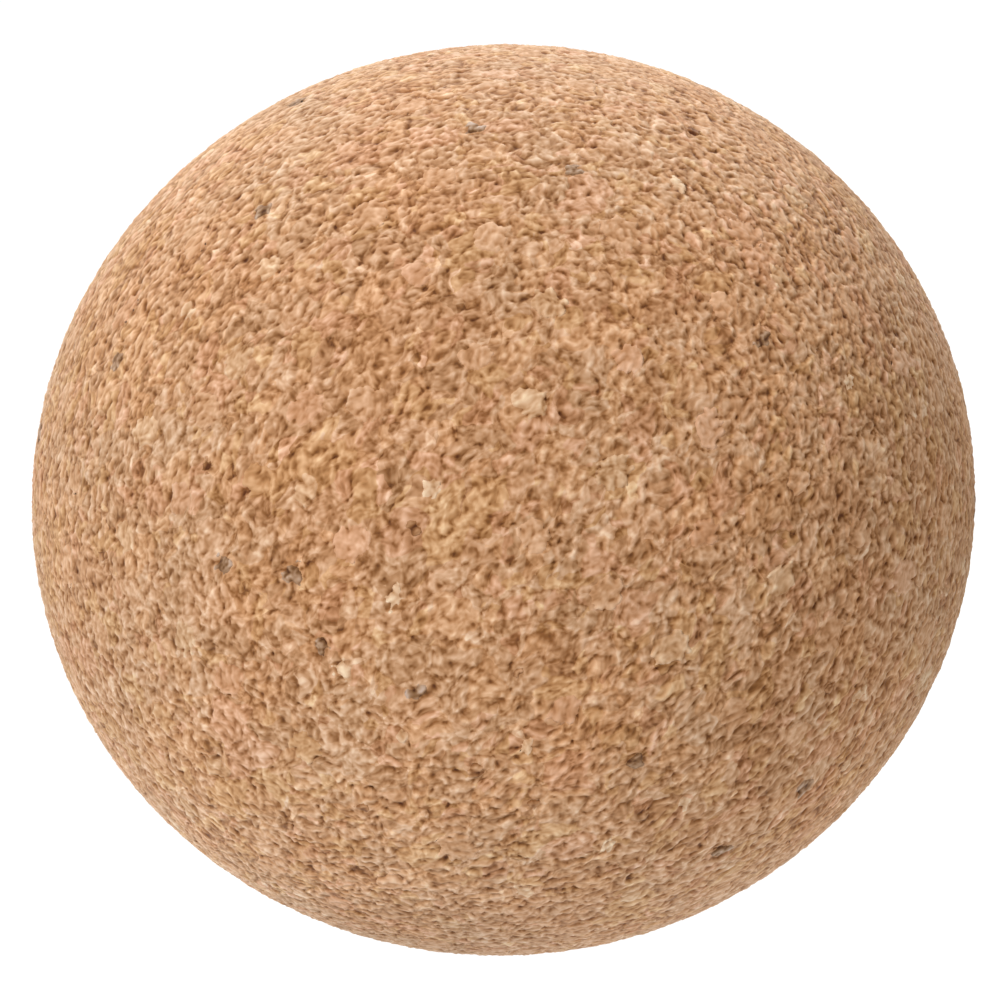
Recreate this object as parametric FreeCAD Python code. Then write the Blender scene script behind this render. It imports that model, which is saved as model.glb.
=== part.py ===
"""Cork massage ball: agglomerated cork, moulded and sanded to a ball, with its larger granules separate.

The ball is a body of fine cork and binder with one socket for each large granule at the surface, and the
granules that fill those sockets. Each granule is a solid of its own. Granules of one kind share a file.
All dimensions are in millimetres. The origin is the middle of the ball and +Z is its shortest axis.
"""

import FreeCAD, Part
import math
import os
import random

# The ball, slightly flattened along Z
EQUATOR_RADIUS = 33.0
POLE_RADIUS = 31.8
SKIN_PATCHES = 8  # curved faces around each half of the ball

# The granules that surface around the whole ball
GRANULE_COUNT = 320
GRANULE_SEED = 7
POLE_CLEARANCE = 3.5  # no granule surfaces this close to the two poles, where the ball rests and presses
GRANULE_GAP = 0.3  # least fine cork and binder between two granules
SPIRAL_JITTER = 1.1
OUTLINE_WOBBLE = 0.16  # how far a corner may lie in or out, as a share of the granule's half-width
CORNER_SHIFT = 0.22  # how far a corner may lie along the outline, as a share of the way to the next
PROUD_OF_SURFACE = 1.5  # the rough plug reaches this far outside before it is cut flush with the ball
ROOT_SHARE = 0.55  # width of a granule's buried end, as a share of its width at the surface

# Each kind of granule: its file, share of all granules, width and length at the surface, depth, and corners
KINDS = {
    "tan_granules": dict(
        share=0.29, width=(1.7, 2.7), length=(2.1, 3.3), depth=(1.2, 1.8), corners=(6, 8)
    ),
    "pink_granules": dict(
        share=0.17, width=(1.6, 2.4), length=(1.9, 2.9), depth=(1.1, 1.6), corners=(6, 8)
    ),
    "ochre_granules": dict(
        share=0.14, width=(1.5, 2.3), length=(1.9, 3.0), depth=(1.1, 1.6), corners=(5, 7)
    ),
    "pale_granules": dict(
        share=0.13, width=(1.4, 2.2), length=(1.8, 2.8), depth=(1.0, 1.5), corners=(5, 7)
    ),
    "pale_slivers": dict(
        share=0.10, width=(0.5, 0.8), length=(1.2, 2.1), depth=(0.8, 1.1), corners=(5, 6)
    ),
    "bark_granules": dict(
        share=0.10, width=(0.9, 1.5), length=(1.2, 2.1), depth=(0.9, 1.3), corners=(5, 7)
    ),
    "lenticel_grains": dict(
        share=0.07, width=(0.5, 0.9), length=(0.8, 1.4), depth=(0.7, 1.0), corners=(5, 6)
    ),
}

# The granules that stand out most on the front: kind, longitude and latitude in degrees, width and
# length in millimetres, and the slant of the long side in degrees from level. Longitude 0 faces -Y.
FRONT_GRANULES = [
    ("pink_granules", 17, 23, 1.9, 2.0, 0),
    ("pink_granules", -22, 22, 2.1, 2.4, 30),
    ("pink_granules", -58, 34, 1.8, 2.8, 65),
    ("pink_granules", -17, 7, 2.2, 2.6, 20),
    ("pale_granules", -32, 28, 1.7, 2.8, 80),
    ("pale_granules", -22, 13, 1.6, 2.2, 45),
    ("pale_granules", -40, -3, 1.7, 2.3, 60),
    ("pale_granules", -48, 8, 1.6, 2.2, 110),
    ("pale_granules", 42, 29, 1.5, 1.7, 0),
    ("pale_granules", 31, 55, 1.5, 1.9, 30),
    ("tan_granules", 32, 27, 2.0, 2.1, 0),
    ("pale_slivers", -13, 1, 0.6, 1.8, 65),
    ("pale_slivers", -20, -7, 0.8, 1.6, 100),
    ("pale_slivers", -15, -15, 0.5, 1.2, 75),
    ("pale_slivers", -1, -18, 0.6, 1.2, 60),
    ("pale_slivers", 47, -32, 0.6, 1.6, 70),
    ("pale_slivers", 46, 15, 0.6, 1.3, 40),
    ("bark_granules", -24, 4, 1.2, 1.4, 20),
    ("bark_granules", -22, -4, 0.8, 1.4, 80),
    ("bark_granules", -12, -10, 0.9, 1.4, 15),
    ("bark_granules", 35, 22, 0.8, 1.8, 20),
    ("bark_granules", 19, 48, 1.0, 1.3, 35),
    ("bark_granules", 4, 58, 1.0, 1.4, 10),
    ("lenticel_grains", -35, 16, 0.7, 1.1, 30),
    ("lenticel_grains", -10, 8, 0.8, 1.1, 70),
    ("lenticel_grains", -1, -9, 0.6, 0.9, 20),
    ("lenticel_grains", 38, -19, 0.7, 1.0, 50),
]


def outward(longitude, latitude):
    """The unit vector at a longitude and latitude in degrees. Longitude 0 is along -Y and 90 along +X."""
    turn = math.radians(longitude)
    rise = math.radians(latitude)
    return FreeCAD.Vector(
        math.sin(turn) * math.cos(rise),
        -math.cos(turn) * math.cos(rise),
        math.sin(rise),
    )


def surface_distance(direction):
    """How far the ball's surface lies from the middle in a direction."""
    level = direction.x**2 + direction.y**2
    return 1.0 / math.sqrt(level / EQUATOR_RADIUS**2 + direction.z**2 / POLE_RADIUS**2)


def make_ball():
    """The solid ball: quarter ellipses above and below the equator, each turned about Z in patches."""
    middle = FreeCAD.Vector()
    polar_axis = FreeCAD.Vector(0, 0, 1)
    ellipse = Part.Ellipse(middle, EQUATOR_RADIUS, POLE_RADIUS)
    patch_turn = 360 / SKIN_PATCHES
    faces = []
    for start in (-math.pi / 2, 0):
        meridian = ellipse.toShape(start, start + math.pi / 2)
        meridian.rotate(middle, FreeCAD.Vector(1, 0, 0), 90)
        for patch in range(SKIN_PATCHES):
            edge = meridian.copy()
            edge.rotate(middle, polar_axis, patch * patch_turn)
            faces += edge.revolve(middle, polar_axis, patch_turn).Faces
    skin = Part.makeShell(faces)
    skin.sewShape()
    return Part.Solid(skin)


def face_round(points):
    """A flat face with these corners."""
    return Part.Face(Part.makePolygon(points + points[:1]))


def make_plug(granule, rng):
    """A tapered plug that points at the middle of the ball, with an uneven outline of flat sides."""
    direction = granule["direction"]
    east = FreeCAD.Vector(0, 0, 1).cross(direction).normalize()
    north = direction.cross(east)
    slant = math.radians(granule["slant"])
    along = east * math.cos(slant) + north * math.sin(slant)
    across = direction.cross(along)
    reach = surface_distance(direction)
    corners = granule["corners"]
    outline = []
    for corner in range(corners):
        angle = 2 * math.pi * (corner + rng.uniform(-CORNER_SHIFT, CORNER_SHIFT)) / corners
        stretch = 1 + rng.uniform(-OUTLINE_WOBBLE, OUTLINE_WOBBLE)
        outline.append(
            along * (math.cos(angle) * stretch * granule["length"] / 2)
            + across * (math.sin(angle) * stretch * granule["width"] / 2)
        )
    taper = (1 - ROOT_SHARE) / granule["depth"]
    mouth_share = 1 + taper * PROUD_OF_SURFACE
    mouth = [direction * (reach + PROUD_OF_SURFACE) + point * mouth_share for point in outline]
    root = [direction * (reach - granule["depth"]) + point * ROOT_SHARE for point in outline]
    sides = [
        face_round([mouth[i], mouth[(i + 1) % corners], root[(i + 1) % corners], root[i]])
        for i in range(corners)
    ]
    solid = Part.Solid(Part.Shell(sides + [face_round(mouth), face_round(root)]))
    if solid.Volume < 0:
        solid.reverse()
    return solid


def half_span(granule):
    """The farthest that a granule's outline can reach from its own middle."""
    return granule["length"] / 2 * (1 + OUTLINE_WOBBLE)


def has_room(granule, placed):
    """True if a granule keeps clear of the poles and of every granule placed before it."""
    spot = granule["direction"] * EQUATOR_RADIUS
    if math.hypot(spot.x, spot.y) < POLE_CLEARANCE + half_span(granule):
        return False
    for other in placed:
        apart = spot.distanceToPoint(other["direction"] * EQUATOR_RADIUS)
        if apart < half_span(granule) + half_span(other) + GRANULE_GAP:
            return False
    return True


def choose_granules(rng):
    """The front granules, and then granules of every kind along a jittered spiral from pole to pole."""
    placed = []
    for kind, longitude, latitude, width, length, slant in FRONT_GRANULES:
        placed.append(
            dict(
                kind=kind,
                direction=outward(longitude, latitude),
                width=width,
                length=length,
                slant=slant,
                depth=KINDS[kind]["depth"][0],
                corners=KINDS[kind]["corners"][1],
            )
        )
    golden_turn = 180 * (3 - math.sqrt(5))
    jitter = math.degrees(SPIRAL_JITTER / EQUATOR_RADIUS)
    names = list(KINDS)
    shares = [KINDS[name]["share"] for name in names]
    for step in range(GRANULE_COUNT):
        kind = rng.choices(names, shares)[0]
        sizes = KINDS[kind]
        height = 1 - 2 * (step + 0.5) / GRANULE_COUNT
        latitude = math.degrees(math.asin(height)) + rng.uniform(-jitter, jitter)
        longitude = step * golden_turn + rng.uniform(-jitter, jitter)
        granule = dict(
            kind=kind,
            direction=outward(longitude, latitude),
            width=rng.uniform(*sizes["width"]),
            length=rng.uniform(*sizes["length"]),
            slant=rng.uniform(0, 180),
            depth=rng.uniform(*sizes["depth"]),
            corners=rng.randint(*sizes["corners"]),
        )
        if has_room(granule, placed):
            placed.append(granule)
    return placed


def write_node(name, solids):
    """Writes one node's solids to its own file."""
    shape = solids[0] if len(solids) == 1 else Part.makeCompound(solids)
    shape.exportStep(os.path.join("parts", name + ".step"))
    volume = sum(solid.Volume for solid in solids)
    print(name, len(solids), "solids,", round(volume, 2), "mm3, valid", shape.isValid())


def main():
    os.makedirs("parts", exist_ok=True)
    rng = random.Random(GRANULE_SEED)
    ball = make_ball()
    plugs = {name: [] for name in KINDS}
    for granule in choose_granules(rng):
        plugs[granule["kind"]].append(make_plug(granule, rng))
    body = ball.cut([plug for group in plugs.values() for plug in group])
    write_node("cork_body", body.Solids)
    filled = body.Volume
    for name, group in plugs.items():
        granules = Part.makeCompound(group).common(ball).Solids
        if len(granules) != len(group):
            raise RuntimeError(f"{name}: {len(group)} plugs gave {len(granules)} granules")
        write_node(name, granules)
        filled += sum(granule.Volume for granule in granules)
    print("ball", round(ball.Volume, 2), "mm3, its pieces together", round(filled, 2), "mm3")


main()
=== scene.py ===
"""Looks of the cork massage ball: a sanded mosaic of cork granules in fine cork and binder.

One close lattice of points covers the ball. A geometry node tree works out the cork's relief at each
point, and the same pattern colours it. The matrix is the whole lattice with a socket under each CAD
granule. Each CAD granule becomes a closed nugget cut from the same lattice, flush in its socket.
"""

import math

import bmesh
import bpy
import numpy as np
from mathutils import Matrix, Vector


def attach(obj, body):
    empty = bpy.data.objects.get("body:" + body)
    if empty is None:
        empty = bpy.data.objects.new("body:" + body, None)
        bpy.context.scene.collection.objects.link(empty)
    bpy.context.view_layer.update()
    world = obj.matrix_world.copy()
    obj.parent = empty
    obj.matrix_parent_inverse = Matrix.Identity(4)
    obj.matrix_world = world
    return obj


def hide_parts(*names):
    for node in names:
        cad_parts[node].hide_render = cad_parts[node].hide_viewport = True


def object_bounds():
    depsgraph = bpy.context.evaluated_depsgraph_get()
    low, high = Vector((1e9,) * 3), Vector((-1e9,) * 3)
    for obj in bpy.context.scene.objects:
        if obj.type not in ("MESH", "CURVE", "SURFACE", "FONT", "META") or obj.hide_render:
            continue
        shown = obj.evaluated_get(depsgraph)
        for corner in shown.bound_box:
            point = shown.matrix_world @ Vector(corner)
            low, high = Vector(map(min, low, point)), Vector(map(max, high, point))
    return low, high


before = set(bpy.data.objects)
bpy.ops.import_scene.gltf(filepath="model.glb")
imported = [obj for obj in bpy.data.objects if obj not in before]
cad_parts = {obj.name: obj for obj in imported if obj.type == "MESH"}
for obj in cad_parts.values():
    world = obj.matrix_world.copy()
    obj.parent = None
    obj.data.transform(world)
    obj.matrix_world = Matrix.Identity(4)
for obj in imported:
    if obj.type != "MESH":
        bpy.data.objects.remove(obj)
CAD_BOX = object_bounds()

MM = 0.001

# The ball
LATTICE_STEPS = 384  # quads along each side of the six patches that cover the ball
HALF_SIZE = (CAD_BOX[1] - CAD_BOX[0]) / 2
EQUATOR_RADIUS = (HALF_SIZE.x + HALF_SIZE.y) / 2
POLE_RADIUS = HALF_SIZE.z
CENTRE = (CAD_BOX[0] + CAD_BOX[1]) / 2
PATTERN_RADIUS_MM = 33.0  # the pattern is laid out in millimetres on a sphere of this radius
BAKE_MAP = "OFBake"  # the name of the UV map that holds the charts
CHART_MARGIN = 0.01  # of a chart's width, left clear on each side

# How each granule is fitted in its socket
OUTLINE_RAGGED = 0.13 * MM
GROOVE_WIDTH = 0.16 * MM
GROOVE_DEPTH = 0.02 * MM
GRANULE_OVERLAP = 0.30 * MM
GRANULE_EDGE_DROP = 0.26 * MM
GRANULE_CROWN = 0.01 * MM
SOCKET_RIM = 0.12 * MM
SOCKET_SLOPE = 0.45 * MM
SOCKET_CLEARANCE = 0.15 * MM
CROWN_WIDTH = 0.5 * MM  # from the edge to where the crown has its full height
DEPTH_SHARE = 0.8  # of a CAD granule's depth, kept by its nugget
EDGE_THICKNESS = 0.02 * MM
OUTLINE_MARGIN = 1.0 * MM  # how far round a granule's outline its distance is worked out


class Tree:
    """Adds nodes to a node tree by short calls. A value is a number, a vector or another node's socket."""

    def __init__(self, nodes, links):
        self.nodes = nodes
        self.links = links

    def feed(self, socket, value):
        if isinstance(value, bpy.types.NodeSocket):
            self.links.new(value, socket)
        else:
            socket.default_value = value

    def add(self, kind, inputs=(), **settings):
        node = self.nodes.new(kind)
        for name, value in settings.items():
            setattr(node, name, value)
        for name, value in dict(inputs).items():
            self.feed(node.inputs[name], value)
        return node

    def math(self, operation, *values, clamp=False):
        node = self.add("ShaderNodeMath", enumerate(values), operation=operation)
        node.use_clamp = clamp
        return node.outputs[0]

    def vector(self, operation, *values):
        return self.add("ShaderNodeVectorMath", enumerate(values), operation=operation).outputs[0]

    def scaled(self, vector, factor):
        node = self.add("ShaderNodeVectorMath", {0: vector, "Scale": factor}, operation="SCALE")
        return node.outputs[0]

    def step(self, value, low, high, start=0.0, end=1.0):
        """A smooth step: start up to low, end from high on."""
        inputs = {"Value": value, "From Min": low, "From Max": high, "To Min": start, "To Max": end}
        return self.add("ShaderNodeMapRange", inputs, interpolation_type="SMOOTHSTEP").outputs[0]

    def noise(self, place, size):
        """Noise whose blobs are about size across, in millimetres."""
        inputs = {"Vector": place, "Scale": 1 / size, "Detail": 1.0, "Roughness": 0.5}
        return self.add("ShaderNodeTexNoise", inputs)

    def cells(self, place, size, feature="F1"):
        """A mosaic of irregular cells about size across, in millimetres."""
        inputs = {"Vector": place, "Scale": 1 / size, "Randomness": 1.0}
        return self.add("ShaderNodeTexVoronoi", inputs, feature=feature)

    def channels(self, colour):
        return self.add("ShaderNodeSeparateXYZ", {0: colour}).outputs

    def pick(self, chance, first, second):
        """second where chance is over a half, otherwise first. All three are numbers."""
        node = self.add("ShaderNodeMix", data_type="FLOAT")
        self.feed(node.inputs[0], self.math("GREATER_THAN", chance, 0.5))
        self.feed(node.inputs[2], first)
        self.feed(node.inputs[3], second)
        return node.outputs[0]

    def tinted(self, colour, tint):
        """The two colours multiplied."""
        node = self.add("ShaderNodeMix", data_type="RGBA", blend_type="MULTIPLY")
        self.feed(node.inputs[0], 1.0)
        self.feed(node.inputs[6], colour)
        self.feed(node.inputs[7], tint)
        return node.outputs[2]

    def ramp(self, value, stops, interpolation="LINEAR"):
        """The colour that value picks from stops, a list of (value, colour)."""
        node = self.add("ShaderNodeValToRGB", {0: value})
        ramp = node.color_ramp
        ramp.interpolation = interpolation
        while len(ramp.elements) < len(stops):
            ramp.elements.new(1.0)
        for element, (position, colour) in zip(ramp.elements, stops):
            element.position = position
            element.color = (*colour, 1.0)
        return node.outputs[0]


# The cork's pattern -------------------------------------------------------------------------------

# Sizes and heights in millimetres
GRANULE_SIZE = 2.1
GRAIN_SIZE = 0.95  # of the grains that most granules are broken into
WHOLE_SHARE = 0.36  # of the granules aren't broken
WHOLE_TONE_SPREAD = 0.6  # of the grains' range of tones, for whole granules
WHOLE_LEVEL = 0.55
LIE = (0.77, 0.0, 0.64)  # the granules lie mostly along this direction, as the mould pressed them
LIE_SHARE = 0.20  # of a granule's length, by which it is longer that way
BROAD_BEND_SIZE = 1.9  # the outlines of granules and grains are bent by two sizes of noise
BROAD_BEND = 1.7
FINE_BEND_SIZE = 0.6
FINE_BEND = 0.5
KNOB_SIZE = 0.44
KNOB_CURL = 1.0
CHIP_SIZE = 0.55
CHIP_SHARE = 0.45  # of a granule's range of tone, taken by the chips that it is made of
ZONE_SIZE = 8.0  # of the broad drifts between paler and warmer cork

# Gaps and pores. Where a limit is two numbers, the feature fades in or out between them.
TEAR_SIZE = 0.9  # torn places have gaps between granules, and the others have pits in granules
TORN = (0.52, 0.62)
UNTORN = (0.56, 0.44)
GAP_WIDTH = 0.20
PIT_KNOB = (-0.08, -0.25)
PORE_SIZE = 1.15
PORE_CHANCE = (0.74, 0.80)
PORE_RIM = (0.04, 0.24)

# Relief
KNOB_RELIEF = 0.30
CREVICE_DEPTH = 0.08
EDGE_ROUNDING = 0.035
ROUNDED_WIDTH = 0.30
UNEVENNESS = 0.04
GRANULE_KNOB_SHARE = 0.9  # of the matrix's knob height, left on a big granule


def cork_pattern(tree, direction):
    """The cork's features in a direction from the ball's middle.

    Granules are of mixed size: some cells of the coarse mosaic are whole, and the others are broken into
    grains of the small mosaic.
    """
    sphere = tree.scaled(direction, PATTERN_RADIUS_MM)
    along = tree.add("ShaderNodeVectorMath", {0: sphere, 1: LIE}, operation="DOT_PRODUCT").outputs["Value"]
    shorter = tree.scaled(LIE, tree.math("MULTIPLY", along, LIE_SHARE))
    place = tree.vector("SUBTRACT", sphere, shorter)
    broad = tree.vector("SUBTRACT", tree.noise(place, BROAD_BEND_SIZE).outputs[1], (0.5, 0.5, 0.5))
    fine = tree.vector("SUBTRACT", tree.noise(place, FINE_BEND_SIZE).outputs[1], (0.5, 0.5, 0.5))
    push = tree.vector("ADD", tree.scaled(broad, BROAD_BEND), tree.scaled(fine, FINE_BEND))
    bent = tree.vector("ADD", place, push)
    coarse = tree.cells(bent, GRANULE_SIZE)
    coarse_edge = tree.cells(bent, GRANULE_SIZE, "DISTANCE_TO_EDGE")
    small = tree.cells(bent, GRAIN_SIZE)
    small_edge = tree.cells(bent, GRAIN_SIZE, "DISTANCE_TO_EDGE")
    red, green, blue = tree.channels(coarse.outputs["Color"])
    small_red, small_green, small_blue = tree.channels(small.outputs["Color"])
    broken = tree.math("GREATER_THAN", red, WHOLE_SHARE)
    far = tree.math("MULTIPLY", coarse_edge.outputs["Distance"], GRANULE_SIZE)
    near = tree.math("MINIMUM", tree.math("MULTIPLY", small_edge.outputs["Distance"], GRAIN_SIZE), far)
    edge = tree.pick(broken, far, near)
    curled = tree.vector("ADD", place, tree.scaled(broad, KNOB_CURL))
    knob = tree.math("SUBTRACT", tree.noise(curled, KNOB_SIZE).outputs[0], 0.5)
    chip = tree.channels(tree.cells(curled, CHIP_SIZE).outputs["Color"])[0]
    whole_tone = tree.math("MULTIPLY_ADD", blue, WHOLE_TONE_SPREAD, (1 - WHOLE_TONE_SPREAD) / 2)
    granule_tone = tree.pick(broken, whole_tone, small_blue)
    chip_tone = tree.math("MULTIPLY", chip, CHIP_SHARE)
    return dict(
        place=place,
        edge=edge,
        hue=tree.pick(broken, green, small_green),
        tone=tree.math("MULTIPLY_ADD", granule_tone, 1 - CHIP_SHARE, chip_tone),
        level=tree.pick(broken, WHOLE_LEVEL, small_red),
        knob=knob,
        gap=crevices(tree, place, bent, edge, knob),
        zone=tree.noise(place, ZONE_SIZE).outputs[0],
    )


def crevices(tree, place, bent, edge, knob):
    """From 0 to 1: the short gaps between granules, the pits, and the pores, where something is missing.
    They are sunk in the relief and darkened in the colour by painted shade.
    """
    torn = tree.noise(place, TEAR_SIZE).outputs[0]
    gap = tree.math("MULTIPLY", tree.step(torn, *TORN), tree.step(edge, 0.0, GAP_WIDTH, 1.0, 0.0))
    pit = tree.math("MULTIPLY", tree.step(knob, *PIT_KNOB), tree.step(torn, *UNTORN))
    pore = tree.cells(bent, PORE_SIZE)
    rare = tree.step(tree.channels(pore.outputs["Color"])[0], *PORE_CHANCE)
    hole = tree.math("MULTIPLY", rare, tree.step(pore.outputs["Distance"], *PORE_RIM, 1.0, 0.0))
    return tree.math("MAXIMUM", gap, tree.math("MAXIMUM", pit, hole))


def relief_heights(tree, direction):
    """Heights in metres: of the whole broken surface, and of the knobs alone, which a big granule shows."""
    pattern = cork_pattern(tree, direction)
    rounded = tree.step(pattern["edge"], 0.0, ROUNDED_WIDTH, -EDGE_ROUNDING, 0.0)
    uneven = tree.math("MULTIPLY", tree.math("SUBTRACT", pattern["level"], 0.5), UNEVENNESS)
    knobs = tree.math("MULTIPLY", pattern["knob"], KNOB_RELIEF)
    total = tree.math("ADD", tree.math("ADD", rounded, uneven), knobs)
    total = tree.math("SUBTRACT", total, tree.math("MULTIPLY", pattern["gap"], CREVICE_DEPTH))
    return tree.math("MULTIPLY", total, MM), tree.math("MULTIPLY", knobs, GRANULE_KNOB_SHARE * MM)


# The lattice --------------------------------------------------------------------------------------


def make_lattice(steps):
    """Unit directions evenly over a sphere, the quads between them, and the quads' corners on a chart.

    They are a cube's six faces blown up to a ball, and the chart has the faces side by side in two rows.
    """
    across, up = np.meshgrid(np.arange(steps + 1), np.arange(steps + 1), indexing="ij")
    flat = np.zeros_like(across)
    keys = []
    turned = []
    for axis in range(3):
        for side in (0, steps):
            corner = [across, up]
            corner.insert(axis, flat + side)
            keys.append(np.stack(corner, -1).reshape(-1, 3))
            turned.append((side == steps) != (axis == 1))
    keys = np.concatenate(keys)
    code = (keys[:, 0] * (steps + 1) + keys[:, 1]) * (steps + 1) + keys[:, 2]
    _, first, place = np.unique(code, return_index=True, return_inverse=True)
    cube = np.tan((keys[first] / steps * 2 - 1) * math.pi / 4)
    directions = cube / np.linalg.norm(cube, axis=1, keepdims=True)
    row = np.arange(steps)
    start = (row[:, None] * (steps + 1) + row[None, :]).reshape(-1)
    share = np.stack([across, up], -1).reshape(-1, 2) / steps
    quads = []
    charts = []
    for patch in range(6):
        loop = [start, start + steps + 1, start + steps + 2, start + 1]
        if not turned[patch]:
            loop.reverse()
        corners = np.stack(loop, -1)
        quads.append(place[corners + patch * (steps + 1) ** 2])
        charts.append(chart_tile(share[corners], patch % 3, patch // 3, (3, 2)))
    return directions, np.concatenate(quads), np.concatenate(charts)


def chart_tile(share, column, row, tiles):
    """Places on a flat chart, for shares from 0 to 1 of the way across and up one of its tiles."""
    corner = np.stack([column, row], -1)
    return (corner + CHART_MARGIN + share * (1 - 2 * CHART_MARGIN)) / tiles


def surface_radius(directions):
    """The smooth ball's radius in each direction, in metres."""
    level = directions[:, 0] ** 2 + directions[:, 1] ** 2
    return 1 / np.sqrt(level / EQUATOR_RADIUS**2 + directions[:, 2] ** 2 / POLE_RADIUS**2)


def make_object(name, points, quads, chart):
    """A smooth-shaded mesh object of quads, added to the scene. chart is the UV map, a place per corner."""
    mesh = bpy.data.meshes.new(name)
    mesh.vertices.add(len(points))
    mesh.vertices.foreach_set("co", np.ascontiguousarray(points, np.float32).reshape(-1))
    mesh.loops.add(len(quads) * 4)
    mesh.loops.foreach_set("vertex_index", np.ascontiguousarray(quads, np.int32).reshape(-1))
    mesh.polygons.add(len(quads))
    mesh.polygons.foreach_set("loop_start", np.arange(0, len(quads) * 4, 4, dtype=np.int32))
    mesh.update(calc_edges=True)
    mesh.shade_smooth()
    layer = mesh.uv_layers.new(name=BAKE_MAP)
    layer.data.foreach_set("uv", np.ascontiguousarray(chart, np.float32).reshape(-1))
    made = bpy.data.objects.new(name, mesh)
    bpy.context.scene.collection.objects.link(made)
    return made


def relief_tree():
    """The geometry node tree that stores the two relief heights on each point."""
    group = bpy.data.node_groups.new("cork_relief", "GeometryNodeTree")
    group.interface.new_socket("Geometry", in_out="INPUT", socket_type="NodeSocketGeometry")
    group.interface.new_socket("Geometry", in_out="OUTPUT", socket_type="NodeSocketGeometry")
    tree = Tree(group.nodes, group.links)
    start = tree.add("NodeGroupInput")
    end = tree.add("NodeGroupOutput")
    direction = tree.vector("NORMALIZE", tree.add("GeometryNodeInputPosition").outputs[0])
    geometry = start.outputs[0]
    for name, height in zip(("relief", "grain"), relief_heights(tree, direction)):
        store = tree.add("GeometryNodeStoreNamedAttribute", data_type="FLOAT", domain="POINT")
        store.inputs["Name"].default_value = name
        tree.feed(store.inputs["Value"], height)
        tree.feed(store.inputs["Geometry"], geometry)
        geometry = store.outputs[0]
    tree.feed(end.inputs[0], geometry)
    return group


def relief_on(directions, quads, charts):
    """The two relief heights at each direction, in metres, by the geometry node tree."""
    carrier = make_object("lattice", directions, quads, charts)
    carrier.modifiers.new("relief", "NODES").node_group = relief_tree()
    done = carrier.evaluated_get(bpy.context.evaluated_depsgraph_get()).data
    heights = []
    for name in ("relief", "grain"):
        values = np.zeros(len(directions), np.float32)
        done.attributes[name].data.foreach_get("value", values)
        heights.append(values.astype(float))
    mesh = carrier.data
    bpy.data.objects.remove(carrier)
    bpy.data.meshes.remove(mesh)
    return heights


# The granules, read from the CAD nodes ------------------------------------------------------------


SAME_POINT = 0.001 * MM
SKIN_LIMIT = 0.2 * MM  # CAD points nearer the skin than this are on it


def loose_parts(node):
    """The vertices of each separate solid in a CAD node, as lists of (vertex, its neighbours)."""
    bm = bmesh.new()
    bm.from_mesh(node.data)
    bmesh.ops.remove_doubles(bm, verts=bm.verts, dist=SAME_POINT)
    seen = set()
    parts = []
    for first in bm.verts:
        if first in seen:
            continue
        seen.add(first)
        stack = [first]
        part = []
        while stack:
            vertex = stack.pop()
            neighbours = [edge.other_vert(vertex) for edge in vertex.link_edges]
            part.append((np.array(vertex.co), [np.array(other.co) for other in neighbours]))
            for other in neighbours:
                if other not in seen:
                    seen.add(other)
                    stack.append(other)
        parts.append(part)
    bm.free()
    return parts


def under_skin(point):
    """How far a point lies under the smooth ball's skin, along its radius."""
    distance = np.linalg.norm(point)
    return surface_radius(point[None] / distance)[0] - distance


def measure_granule(part):
    """A granule's middle, tangent directions, outline as angles and radii, and depth."""
    depth = max(under_skin(point) for point, _ in part)
    outline = []
    for point, neighbours in part:
        at_edge = under_skin(point) < SKIN_LIMIT and any(under_skin(n) > SKIN_LIMIT for n in neighbours)
        if at_edge:
            outline.append(point)
    outline = np.array(outline)
    middle = outline.mean(0)
    direction = middle / np.linalg.norm(middle)
    east = np.cross((0, 0, 1), direction)
    east /= np.linalg.norm(east)
    north = np.cross(direction, east)
    level = outline - middle
    angles = np.arctan2(level @ north, level @ east)
    order = np.argsort(angles)
    radii = np.hypot(level @ north, level @ east)
    return dict(
        direction=direction,
        east=east,
        north=north,
        angles=angles[order],
        radii=radii[order],
        reach=radii.max() + OUTLINE_MARGIN,
        depth=depth,
    )


def mark_granules(directions, grain, kinds):
    """For each lattice point: which granule it is in (or -1), how far inside its outline, and its depth.

    The last result lists all the granules as measured.
    """
    owner = np.full(len(directions), -1)
    inside = np.full(len(directions), -1.0)
    depth = np.zeros(len(directions))
    granules = []
    places = directions * surface_radius(directions)[:, None]
    ragged = (grain - grain.mean()) / grain.std()
    for kind in kinds:
        for part in loose_parts(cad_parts[kind]):
            granule = measure_granule(part)
            spread = math.cos(granule["reach"] / EQUATOR_RADIUS)
            close = np.flatnonzero(directions @ granule["direction"] > spread)
            level = places[close]
            side = level @ granule["east"]
            rise = level @ granule["north"]
            angle = np.arctan2(rise, side)
            edge = np.interp(angle, granule["angles"], granule["radii"], period=2 * math.pi)
            gone = edge - np.hypot(side, rise) + OUTLINE_RAGGED * ragged[close]
            better = gone > inside[close]
            chosen = close[better]
            owner[chosen] = len(granules)
            inside[chosen] = gone[better]
            depth[chosen] = granule["depth"]
            granules.append(dict(granule, kind=kind))
    owner[inside < -OUTLINE_MARGIN] = -1
    return owner, inside, depth, granules


def smooth_step(value, low, high):
    share = np.clip((value - low) / (high - low), 0, 1)
    return share * share * (3 - 2 * share)


# The pieces ---------------------------------------------------------------------------------------


def build_matrix(lattice, heights, marks):
    """The whole ball of fine cork and binder, sunk under each granule to make its socket."""
    directions, quads, charts = lattice
    owner, inside, depth, _ = marks
    groove = GROOVE_DEPTH * smooth_step(inside, -GROOVE_WIDTH, 0)
    bowl_depth = depth * DEPTH_SHARE + SOCKET_CLEARANCE
    bowl = bowl_depth * smooth_step(inside, SOCKET_RIM, SOCKET_RIM + SOCKET_SLOPE)
    sink = np.where(owner >= 0, groove + bowl, 0)
    radius = surface_radius(directions) + heights[0] - sink
    return make_object("cork_matrix", directions * radius[:, None], quads, charts)


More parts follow.
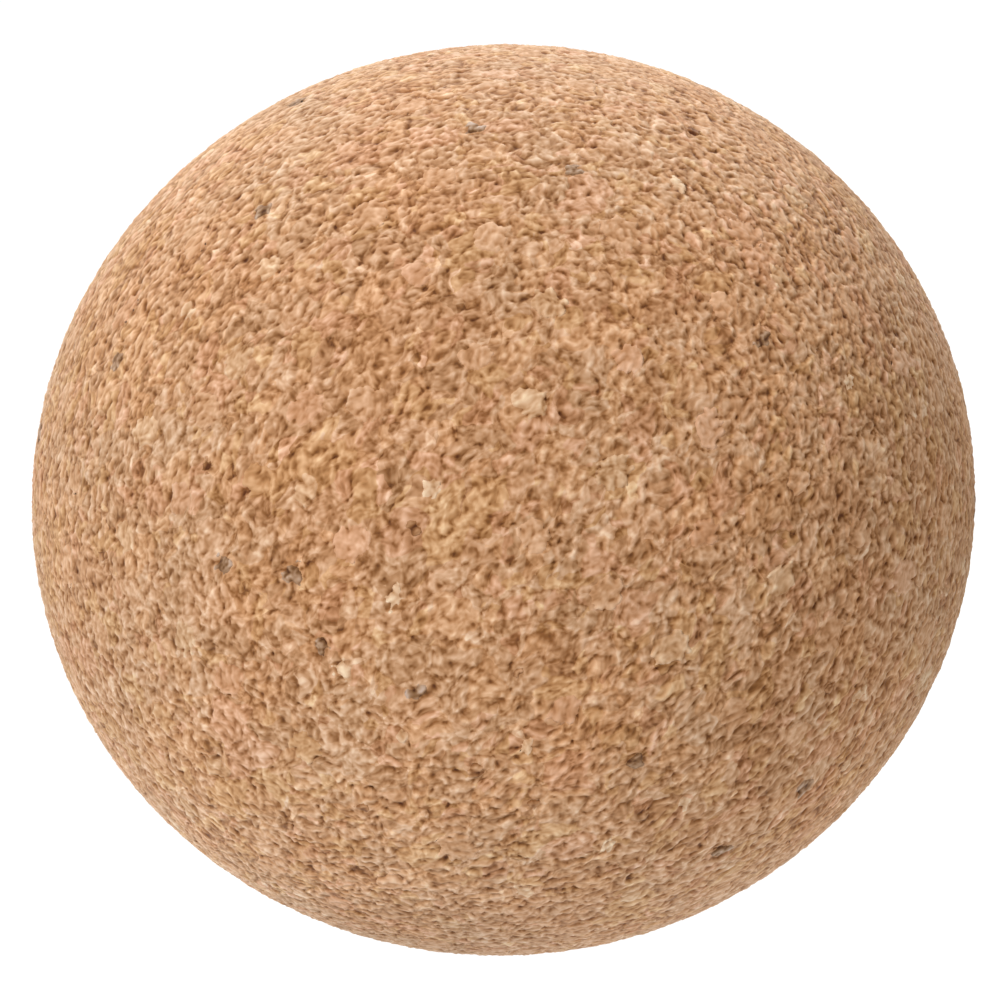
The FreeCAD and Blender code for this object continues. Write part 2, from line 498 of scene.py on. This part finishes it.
def nugget_faces(quads, chosen, count):
    """Quads of the chosen points that touch at least one inner point, and which points are inner."""
    whole = np.bincount(quads.reshape(-1), minlength=count)
    faces = quads[chosen[quads].all(1)]
    used = np.bincount(faces.reshape(-1), minlength=count)
    inner = (used == whole) & (used > 0)
    faces = faces[inner[faces].any(1)]
    used = np.bincount(faces.reshape(-1), minlength=count)
    return faces, (used == whole) & (used > 0)


def granule_chart(places, owners, granules, numbers, tiles):
    """The chart for faces of granules seen from above, each granule in the tile of its number."""
    share = []
    for side in ("east", "north"):
        axes = np.array([granule[side] for granule in granules])[owners]
        reach = np.array([granule["reach"] for granule in granules])[owners]
        share.append(0.5 + 0.5 * np.einsum("fcx,fx->fc", places, axes) / reach[:, None])
    number = numbers[owners, None]
    return chart_tile(np.stack(share, -1), number % tiles, number // tiles, tiles)


def build_granules(kind, lattice, heights, marks):
    """One kind's granules: closed nuggets with a worn crown flush with the ball and a rounded root."""
    directions, quads, _ = lattice
    owner, inside, depth, granules = marks
    kind_flags = np.array([granule["kind"] == kind for granule in granules])
    of_kind = (owner >= 0) & kind_flags[owner]
    chosen = of_kind & (inside > -GRANULE_OVERLAP)
    faces, inner = nugget_faces(quads, chosen, len(directions))
    crown = GRANULE_CROWN * smooth_step(inside, 0, CROWN_WIDTH)
    drop = GRANULE_EDGE_DROP * (1 - smooth_step(inside, -GRANULE_OVERLAP, GROOVE_WIDTH))
    top = surface_radius(directions) + heights[1] + crown - drop
    root_depth = depth * DEPTH_SHARE * smooth_step(inside, -GRANULE_OVERLAP, SOCKET_RIM + SOCKET_SLOPE)
    root = top - root_depth - EDGE_THICKNESS
    used = np.unique(faces)
    lower = np.flatnonzero(inner)
    top_index = np.full(len(directions), -1)
    top_index[used] = np.arange(len(used))
    root_index = top_index.copy()
    root_index[lower] = len(used) + np.arange(len(lower))
    points = np.concatenate([directions[used] * top[used, None], directions[lower] * root[lower, None]])
    shell = np.concatenate([top_index[faces], root_index[faces][:, ::-1]])
    places = directions[faces] * EQUATOR_RADIUS
    numbers = 2 * (np.cumsum(kind_flags) - 1)
    tiles = math.ceil(math.sqrt(2 * kind_flags.sum()))
    crowns = granule_chart(places, owner[faces[:, 0]], granules, numbers, tiles)
    roots = granule_chart(places, owner[faces[:, 0]], granules, numbers + 1, tiles)
    chart = np.concatenate([crowns, roots[:, ::-1]])
    return make_object(kind + "_surface", points, shell, chart)


# Materials ----------------------------------------------------------------------------------------

# Colours by how light the cork is, from 0 to 1, and tints by which granule it is
CORK_TONES = [
    (0.00, (0.120, 0.032, 0.006)),
    (0.25, (0.300, 0.122, 0.036)),
    (0.50, (0.535, 0.286, 0.136)),
    (0.75, (0.725, 0.472, 0.296)),
    (1.00, (0.880, 0.680, 0.490)),
]
RARE_SHADE = 0.09  # how much paler or darker than the rest the odd granule is
CORK_TINTS = [
    (0.00, (1.00, 1.00, 1.00)),
    (0.25, (1.02, 1.00, 0.94)),
    (0.45, (0.98, 1.00, 1.01)),
    (0.60, (1.03, 0.99, 1.01)),
    (0.72, (1.00, 1.00, 0.88)),
    (0.86, (0.975, 1.005, 1.03)),
    (1.00, (0.99, 1.00, 0.95)),
]
ZONE_TINTS = [
    (0.30, (1.025, 1.00, 0.975)),
    (0.70, (0.975, 1.00, 1.025)),
]
ZONE_TONE = 0.10
PALEST_GRANULES = (0.88, 0.98)  # the granules' own tones, from 0 to 1, across which RARE_SHADE comes in
DARKEST_GRANULES = (0.02, 0.10)
DRIFT_SIZE = 3.1  # millimetres, of the drift in tone between and across big granules
# Painted shade: how much darker the granules' gaps, pits and pores are made
GRANULE_GAP_PAINTED_SHADE = 0.10
ROUGHNESS = (0.95, 0.75)  # in the hollows between knobs, and on top of them
KNOB_RANGE = 0.2  # of a knob's height from its mean, as the noise gives it
TOOTH_SIZE = 0.26  # millimetres, of the finest bumps
TOOTH_HEIGHT = 0.012
MATT = {
    "Specular IOR Level": 0.25,
    "Diffuse Roughness": 1.0,
    "Sheen Weight": 0.20,
    "Sheen Roughness": 0.5,
    "Sheen Tint": (1.0, 0.93, 0.85, 1.0),
}


def new_material(name, looks):
    """A material, a Tree for its nodes, and its shader with the given values on its sockets."""
    material = bpy.data.materials.new(name)
    material.use_nodes = True
    tree = Tree(material.node_tree.nodes, material.node_tree.links)
    shader = material.node_tree.nodes["Principled BSDF"]
    for socket, value in looks.items():
        shader.inputs[socket].default_value = value
    return material, tree, shader


def surface_direction(tree):
    return tree.vector("NORMALIZE", tree.add("ShaderNodeTexCoord").outputs["Object"])


def finish_surface(tree, shader, pattern, tone, tint):
    """Colours the cork by its tone and tint, and adds the roughness and the bumps finer than a knob."""
    colour = tree.tinted(tree.ramp(tone, CORK_TONES), tint)
    colour = tree.tinted(colour, tree.ramp(pattern["zone"], ZONE_TINTS))
    tree.feed(shader.inputs["Base Color"], colour)
    tree.feed(shader.inputs["Roughness"], tree.step(pattern["knob"], -KNOB_RANGE, KNOB_RANGE, *ROUGHNESS))
    teeth = tree.noise(pattern["place"], TOOTH_SIZE).outputs[0]
    bump_height = tree.math("MULTIPLY", teeth, TOOTH_HEIGHT)
    bump = tree.add("ShaderNodeBump", {"Height": bump_height, "Distance": MM, "Strength": 1.0})
    tree.feed(shader.inputs["Normal"], bump.outputs[0])


def toned(tree, pattern, middle, tone_spread, knob_mottle_and_painted_shade, gap_painted_shade):
    """How light the cork is, from 0 to 1: by granule; by each knob's height, lighter on top and darker in
    the hollows, partly the cork's own mottling and partly painted light and shade; and darker in the gaps
    by painted shade.
    """
    tone = tree.math("MULTIPLY_ADD", tree.math("SUBTRACT", pattern["tone"], 0.5), tone_spread, middle)
    tone = tree.math("ADD", tone, tree.step(pattern["tone"], *PALEST_GRANULES, 0.0, RARE_SHADE))
    tone = tree.math("SUBTRACT", tone, tree.step(pattern["tone"], *DARKEST_GRANULES, RARE_SHADE, 0.0))
    tone = tree.math("MULTIPLY_ADD", tree.math("SUBTRACT", pattern["zone"], 0.5), ZONE_TONE, tone)
    # Painted light and shade: lighter on the knobs' tops and darker in the hollows between them, over the
    # cork's own mottling
    tone = tree.math("MULTIPLY_ADD", pattern["knob"], knob_mottle_and_painted_shade, tone)
    # Painted shade: darker in the gaps, pits and pores
    return tree.math("MULTIPLY_ADD", pattern["gap"], -gap_painted_shade, tone, clamp=True)


# The matrix's tone; the knob value sets its mottling with painted light and shade on the knobs, and the gap
# value sets the painted shade in the gaps
MATRIX_LOOK = dict(middle=0.53, tone_spread=0.34, knob_mottle_and_painted_shade=1.20, gap_painted_shade=0.10)


def matrix_material():
    """The mosaic of fine and coarse granules: each has its own tint and tone, with painted shade darkening
    the gaps between them.
    """
    material, tree, shader = new_material("cork_mosaic", MATT)
    pattern = cork_pattern(tree, surface_direction(tree))
    tone = toned(tree, pattern, **MATRIX_LOOK)
    tint = tree.ramp(pattern["hue"], CORK_TINTS, "CONSTANT")
    finish_surface(tree, shader, pattern, tone, tint)
    return material


def granule_material(name, middle, tint, knob_mottle_and_painted_shade, drift):
    """One kind of granule, whose tone drifts from granule to granule."""
    material, tree, shader = new_material(name, MATT)
    pattern = cork_pattern(tree, surface_direction(tree))
    pattern["tone"] = tree.noise(pattern["place"], DRIFT_SIZE).outputs[0]
    # Painted shade in the gaps and the knobs' hollows, and painted light on the knobs' tops, as on the
    # matrix
    tone = toned(tree, pattern, middle, drift, knob_mottle_and_painted_shade, GRANULE_GAP_PAINTED_SHADE)
    finish_surface(tree, shader, pattern, tone, (*tint, 1.0))
    return material


# The knob value of each kind sets its mottling with painted light on the knobs' tops and painted shade in
# their hollows
GRANULE_LOOKS = {
    "tan_granules": dict(middle=0.58, tint=(1.01, 1.00, 0.98), knob_mottle_and_painted_shade=0.85, drift=0.4),
    "pink_granules": dict(middle=0.60, tint=(1.02, 0.99, 1.00), knob_mottle_and_painted_shade=0.8, drift=0.4),
    "ochre_granules": dict(middle=0.53, tint=(1.00, 1.00, 0.90), knob_mottle_and_painted_shade=1.0, drift=0.4),
    "pale_granules": dict(middle=0.61, tint=(0.98, 1.01, 0.98), knob_mottle_and_painted_shade=1.1, drift=0.4),
    "pale_slivers": dict(middle=0.73, tint=(0.97, 1.02, 1.02), knob_mottle_and_painted_shade=1.0, drift=0.3),
    "bark_granules": dict(middle=0.32, tint=(0.84, 1.00, 1.30), knob_mottle_and_painted_shade=1.6, drift=0.4),
    "lenticel_grains": dict(middle=0.25, tint=(1.00, 1.00, 1.00), knob_mottle_and_painted_shade=1.4, drift=0.3),
}


def build_ball():
    """The matrix and every kind of granule, each riding on the CAD body and standing for its CAD node."""
    lattice = make_lattice(LATTICE_STEPS)
    heights = relief_on(*lattice)
    marks = mark_granules(lattice[0], heights[1], GRANULE_LOOKS)
    matrix = build_matrix(lattice, heights, marks)
    place_piece(matrix, "cork_body", matrix_material())
    for kind, look in GRANULE_LOOKS.items():
        piece = build_granules(kind, lattice, heights, marks)
        material = granule_material(kind, **look)
        place_piece(piece, kind, material)


def place_piece(piece, node, material):
    piece.data.materials.append(material)
    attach(piece, "root")
    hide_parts(node)


# The studio ---------------------------------------------------------------------------------------

CAMERA_ELEVATION = 10.0
CAMERA_ROLL = 7.4
LENS_MM = 120.0
SENSOR_MM = 36.0
BALL_SHARE = 0.9415  # of the picture's width, taken by the ball's long axis
VIEW_SHIFT = (-0.0024, -0.0019)
CLIP_START = 0.005
CLIP_END = 200.0


def build_camera():
    """A long lens from a little above the front, rolled so that the ball's long axis rises to the right."""
    data = bpy.data.cameras.new("camera")
    data.lens = LENS_MM
    data.sensor_width = SENSOR_MM
    data.shift_x, data.shift_y = VIEW_SHIFT
    data.clip_start = CLIP_START
    data.clip_end = CLIP_END
    edge_angle = math.atan(BALL_SHARE * SENSOR_MM / LENS_MM / 2)
    distance = EQUATOR_RADIUS / math.sin(edge_angle)
    rise = math.radians(CAMERA_ELEVATION)
    back = Vector((0, -math.cos(rise), math.sin(rise)))
    turn = back.to_track_quat("Z", "Y").to_matrix() @ Matrix.Rotation(math.radians(-CAMERA_ROLL), 3, "Z")
    camera = bpy.data.objects.new("camera", data)
    camera.matrix_world = Matrix.Translation(CENTRE + back * distance) @ turn.to_4x4()
    bpy.context.scene.collection.objects.link(camera)
    bpy.context.scene.camera = camera


FLOOR_REACH = 60.0  # metres, so that its edge is near the horizon
WHITE_GLOW = 1.04  # a little over white, so that the ground has no grain
WORLD_GLOW = 0.02
FLOOR_GLOW = 1.0  # what the ball gets from the floor on its left
FAR_FLOOR_GLOW = 0.32  # and from the floor on its right
SHADE_START = 0.0  # metres to the right of the ball's middle, where the first gives way to the second
SHADE_END = 0.06
FLOOR_LOOKS = {
    "Base Color": (0.05, 0.05, 0.05, 1.0),
    "Roughness": 0.9,
    "Specular IOR Level": 0.0,
    "Emission Color": (1.0, 1.0, 1.0, 1.0),
}


def white_to_camera(tree, glow):
    """Strength of a glow that looks white in any view and lights the ball by another amount."""
    seen = tree.add("ShaderNodeLightPath").outputs["Is Camera Ray"]
    return tree.pick(seen, glow, WHITE_GLOW)


def build_floor():
    """A wide white floor under the ball, which lights the ball less from its right."""
    mesh = bpy.data.meshes.new("floor")
    height = CAD_BOX[0].z
    corners = [(x * FLOOR_REACH, y * FLOOR_REACH, height) for x, y in ((-1, -1), (1, -1), (1, 1), (-1, 1))]
    mesh.from_pydata(corners, [], [(0, 1, 2, 3)])
    floor = bpy.data.objects.new("floor", mesh)
    bpy.context.scene.collection.objects.link(floor)
    material, tree, shader = new_material("floor_white", FLOOR_LOOKS)
    rightward = tree.channels(tree.add("ShaderNodeTexCoord").outputs["Object"])[0]
    glow = tree.step(rightward, SHADE_START, SHADE_END, FLOOR_GLOW, FAR_FLOOR_GLOW)
    tree.feed(shader.inputs["Emission Strength"], white_to_camera(tree, glow))
    mesh.materials.append(material)


def build_world():
    """Surroundings as white as the floor beyond its edge, which hardly light the ball."""
    world = bpy.data.worlds.new("studio")
    bpy.context.scene.world = world
    world.use_nodes = True
    background = world.node_tree.nodes["Background"]
    background.inputs["Color"].default_value = (1, 1, 1, 1)
    tree = Tree(world.node_tree.nodes, world.node_tree.links)
    tree.feed(background.inputs["Strength"], white_to_camera(tree, WORLD_GLOW))


LAMP_DISTANCE = 0.9
WHITE = (1.0, 1.0, 1.0)
WARM = (1.0, 0.94, 0.85)
LAMPS = [  # name, direction from the ball, width in metres, power in watts, colour
    ("key", (-0.58, -0.58, 0.57), 0.4, 5.4, WHITE),
    ("back", (0.12, 0.63, 0.77), 0.5, 7.3, WHITE),
    ("top", (0.0, 0.0, 1.0), 0.5, 3.2, WHITE),
    ("fill", (0.50, -0.76, 0.42), 0.5, 2.9, WARM),
]


def build_lamp(name, direction, size, power, colour):
    """A round soft lamp that faces the ball."""
    data = bpy.data.lights.new(name, "AREA")
    data.shape = "DISK"
    data.size = size
    data.energy = power
    data.color = colour
    lamp = bpy.data.objects.new(name, data)
    toward = Vector(direction).normalized()
    lamp.location = CENTRE + toward * LAMP_DISTANCE
    lamp.rotation_mode = "QUATERNION"
    lamp.rotation_quaternion = toward.to_track_quat("Z", "Y")
    bpy.context.scene.collection.objects.link(lamp)


def build_studio():
    build_camera()
    build_floor()
    build_world()
    for lamp in LAMPS:
        build_lamp(*lamp)
    bpy.context.scene.view_settings.view_transform = "Standard"
    bpy.context.scene.view_settings.look = "None"


build_studio()
build_ball()
